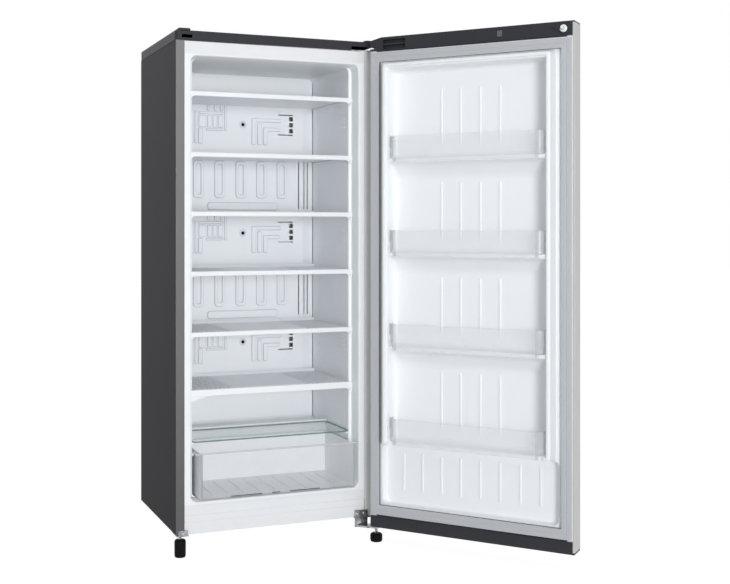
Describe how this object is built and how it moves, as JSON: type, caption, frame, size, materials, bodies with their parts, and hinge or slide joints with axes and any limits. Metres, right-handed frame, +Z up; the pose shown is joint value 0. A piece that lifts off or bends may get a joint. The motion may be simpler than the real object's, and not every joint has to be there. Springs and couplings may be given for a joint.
{
  "type": "upright freezer",
  "caption": "Tall one-door freezer with its door wide open, pull-out shelves, a glass plate over a clear drawer, clear door racks, a turning lock and levelling feet.",
  "frame": {"origin": "on the floor, midway between the cabinet's sides, under the plane that the closed door's seal lies against", "axes": "+X to the right of someone facing the freezer, +Y from the front to the back, +Z up"},
  "size_m": [0.887, 0.8663, 1.309],
  "materials": {
    "case_steel": "charcoal paint, satin",
    "white_steel": "white enamel paint, gloss",
    "silver_skin": "silver paint with a fine grain, satin",
    "zinc_steel": "zinc plated",
    "galvanised": "galvanised sheet",
    "white_plastic": "moulded, smooth",
    "charcoal_plastic": "moulded, fine grain",
    "black_plastic": "moulded",
    "seal_rubber": "grey flexible vinyl",
    "black_rubber": "moulded",
    "foam": "rigid insulating foam, unseen",
    "shelf_glass": "toughened, green edge",
    "clear_plastic": "clear moulding",
    "black_iron": "black enamel shell",
    "coil_aluminium": "bare",
    "black_steel": "black paint",
    "copper": "copper tube",
    "white_polymer": "bearing plastic"
  },
  "bodies": {
    "cabinet": {"case_wrapper": "case_steel", "back_panel": "galvanised", "base_sheet": "galvanised", "foam_insulation": "foam", "inner_liner": "white_plastic", "front_rail_top": "white_steel", "front_rail_low": "white_steel", "top_cover": "charcoal_plastic", "hinge_plate_top": "zinc_steel", "hinge_bracket_low": "zinc_steel", "cabinet_screws": "zinc_steel", "foot_bracket_left": "zinc_steel", "roller_brackets": "zinc_steel", "rear_duct_panel": "white_plastic", "duct_screws": "black_plastic", "evaporator": "coil_aluminium", "defrost_heater": "shelf_glass", "drain_tray": "coil_aluminium", "fan_motor": "black_plastic", "compressor_plate": "galvanised", "compressor": "black_iron", "compressor_grommets": "black_rubber", "terminal_box": "black_plastic", "drip_pan": "black_plastic", "condenser": "black_steel", "condenser_stays": "black_plastic", "filter_drier": "copper", "refrigerant_pipes": "copper"},
    "door": {"door_skin": "silver_skin", "door_foam": "foam", "door_liner": "white_plastic", "door_gasket": "seal_rubber", "door_cap_top": "charcoal_plastic", "door_cap_base": "charcoal_plastic", "hinge_bushes": "white_polymer", "lock_bezel": "white_polymer", "grip_cup": "charcoal_plastic"},
    "foot_left_body": {"foot_left": "black_plastic"},
    "foot_right_body": {"foot_right": "black_plastic"},
    "roller_left_body": {"roller_left": "black_plastic"},
    "roller_right_body": {"roller_right": "black_plastic"},
    "fan_blades_body": {"fan_blades": "white_polymer"},
    "glass_shelf_body": {"glass_shelf": "shelf_glass"},
    "drawer_body": {"drawer": "clear_plastic"},
    "lock_bolt_body": {"lock_bolt": "zinc_steel"},
    "shelf_1_body": {"shelf_1": "white_plastic"},
    "shelf_2_body": {"shelf_2": "white_plastic"},
    "shelf_3_body": {"shelf_3": "white_plastic"},
    "shelf_4_body": {"shelf_4": "white_plastic"},
    "shelf_5_body": {"shelf_5": "white_plastic"},
    "shelf_6_body": {"shelf_6": "white_plastic"},
    "rack_1_body": {"rack_1": "clear_plastic"},
    "rack_2_body": {"rack_2": "clear_plastic"},
    "rack_3_body": {"rack_3": "clear_plastic"},
    "rack_4_body": {"rack_4": "clear_plastic"}
  },
  "joints": [
    {"name": "door_hinge", "type": "hinge", "parent": "cabinet", "child": "door", "pos_m": [0.261, -0.034, 0.655], "axis": [0, 0, 1], "range_deg": [-129.8, 5]},
    {"name": "drawer_slide", "type": "slide", "parent": "cabinet", "child": "drawer_body", "axis": [0, -1, 0], "range_m": [0, 0.15]},
    {"name": "glass_shelf_slide", "type": "slide", "parent": "cabinet", "child": "glass_shelf_body", "axis": [0, -1, 0], "range_m": [0, 0.14]},
    {"name": "shelf_1_slide", "type": "slide", "parent": "cabinet", "child": "shelf_1_body", "axis": [0, -1, 0], "range_m": [0, 0.2]},
    {"name": "shelf_2_slide", "type": "slide", "parent": "cabinet", "child": "shelf_2_body", "axis": [0, -1, 0], "range_m": [0, 0.2]},
    {"name": "shelf_3_slide", "type": "slide", "parent": "cabinet", "child": "shelf_3_body", "axis": [0, -1, 0], "range_m": [0, 0.2]},
    {"name": "shelf_4_slide", "type": "slide", "parent": "cabinet", "child": "shelf_4_body", "axis": [0, -1, 0], "range_m": [0, 0.2]},
    {"name": "shelf_5_slide", "type": "slide", "parent": "cabinet", "child": "shelf_5_body", "axis": [0, -1, 0], "range_m": [0, 0.2]},
    {"name": "shelf_6_slide", "type": "slide", "parent": "cabinet", "child": "shelf_6_body", "axis": [0, -1, 0], "range_m": [0, 0.2]},
    {"name": "rack_1_lift", "type": "slide", "parent": "door", "child": "rack_1_body", "axis": [0, 0, 1], "range_m": [0, 0.045]},
    {"name": "rack_2_lift", "type": "slide", "parent": "door", "child": "rack_2_body", "axis": [0, 0, 1], "range_m": [0, 0.045]},
    {"name": "rack_3_lift", "type": "slide", "parent": "door", "child": "rack_3_body", "axis": [0, 0, 1], "range_m": [0, 0.045]},
    {"name": "rack_4_lift", "type": "slide", "parent": "door", "child": "rack_4_body", "axis": [0, 0, 1], "range_m": [0, 0.045]},
    {"name": "lock_turn", "type": "hinge", "parent": "door", "child": "lock_bolt_body", "pos_m": [0.56543, -0.43376, 1.2895], "axis": [0.7683, 0.6401, 0], "range_deg": [0, 90]},
    {"name": "foot_left_screw", "type": "hinge", "parent": "cabinet", "child": "foot_left_body", "pos_m": [-0.249, 0.02, 0.02], "axis": [0, 0, 1], "continuous": true},
    {"name": "foot_right_screw", "type": "hinge", "parent": "cabinet", "child": "foot_right_body", "pos_m": [0.261, -0.034, 0.02], "axis": [0, 0, 1], "continuous": true},
    {"name": "roller_left_spin", "type": "hinge", "parent": "cabinet", "child": "roller_left_body", "pos_m": [-0.2, 0.345, 0.013], "axis": [1, 0, 0], "continuous": true},
    {"name": "roller_right_spin", "type": "hinge", "parent": "cabinet", "child": "roller_right_body", "pos_m": [0.2, 0.345, 0.013], "axis": [1, 0, 0], "continuous": true},
    {"name": "fan_spin", "type": "hinge", "parent": "cabinet", "child": "fan_blades_body", "pos_m": [0, 0.3085, 0.92975], "axis": [0, 1, 0], "continuous": true}
  ]
}
